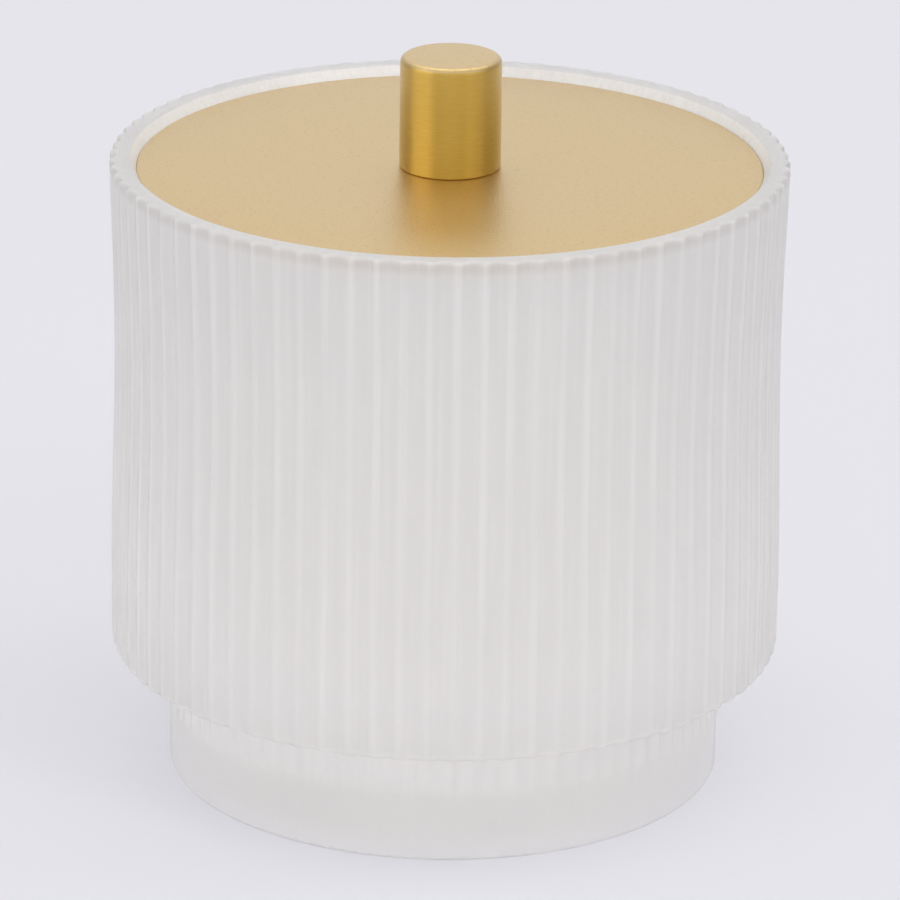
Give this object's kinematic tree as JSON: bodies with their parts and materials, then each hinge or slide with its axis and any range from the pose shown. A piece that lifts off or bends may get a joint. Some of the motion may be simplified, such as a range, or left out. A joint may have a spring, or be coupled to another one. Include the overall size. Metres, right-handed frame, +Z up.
{
  "type": "cotton pad holder",
  "caption": "Frosted, fluted glass jar on a narrower foot, with a loose satin gold disc lid that sits inside the rim and lifts off by a turned knob; keeps cotton pads.",
  "frame": {"origin": "middle of the foot's underside, on the surface that the holder stands on", "axes": "+Z up along the jar's axis, which the lid lifts along; -Y is the side that the picture shows"},
  "size_m": [0.1006, 0.1006, 0.1103],
  "materials": {
    "frosted_glass": "acid-frosted, translucent white",
    "satin_gold_lid": "satin gold, fine bead-blasted grain",
    "satin_gold_knob": "satin gold, fine turning lines",
    "zinc_steel": "zinc plated"
  },
  "bodies": {
    "jar": {"jar": "frosted_glass"},
    "lid": {"lid_plate": "satin_gold_lid", "lid_knob": "satin_gold_knob", "screw_washer": "zinc_steel", "knob_screw": "zinc_steel"}
  },
  "joints": [
    {"name": "lid_lift", "type": "slide", "parent": "jar", "child": "lid", "axis": [0, 0, 1], "range_m": [0, 0.06]}
  ]
}
